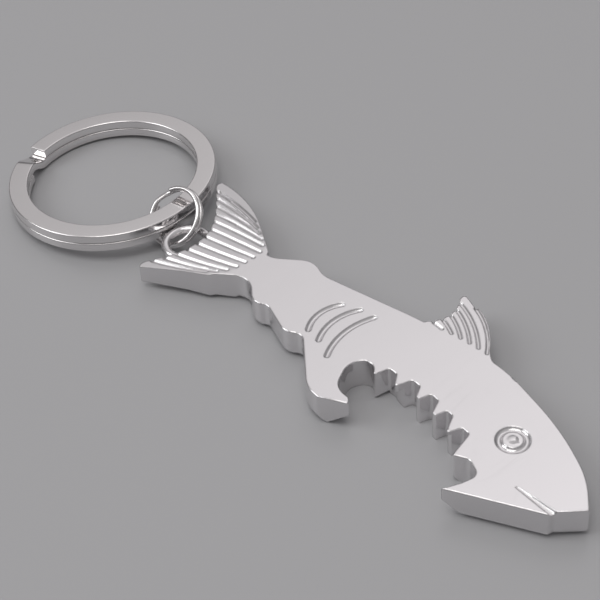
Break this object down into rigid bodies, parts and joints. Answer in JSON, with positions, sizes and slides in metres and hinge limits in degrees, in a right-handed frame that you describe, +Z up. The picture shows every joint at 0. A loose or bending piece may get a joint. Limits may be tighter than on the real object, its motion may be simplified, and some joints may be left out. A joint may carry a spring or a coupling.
{
  "type": "souvenir bottle opener",
  "caption": "Flat chromed shark-shaped bottle opener with a toothed mouth for the cap, hung by a small link ring on a flat split key ring.",
  "frame": {"origin": "middle of the flat underside of the shark's body, which is the face that it rests on", "axes": "+X from the tail to the nose, +Y towards the back with the dorsal fin, +Z up out of the face with the eye and gills; the mouth opens towards -Y"},
  "size_m": [0.1119, 0.0324, 0.0073],
  "materials": {
    "cast_chrome": "mirror-plated zinc casting",
    "wire_chrome": "polished nickel-plated steel wire"
  },
  "bodies": {
    "opener": {"opener_body": "cast_chrome"},
    "link": {"link_ring": "wire_chrome"},
    "keys": {"key_ring": "wire_chrome"}
  },
  "joints": [
    {"name": "link_swing", "type": "hinge", "parent": "opener", "child": "link", "pos_m": [-0.03816, 0.00036, 0.0027], "axis": [0.6605, 0.7005, -0.2702], "range_deg": [0, 60]},
    {"name": "key_ring_swing", "type": "hinge", "parent": "link", "child": "keys", "pos_m": [-0.04068, 0.0013, 0.00356], "axis": [0, 1, 0], "range_deg": [0, 24]}
  ]
}
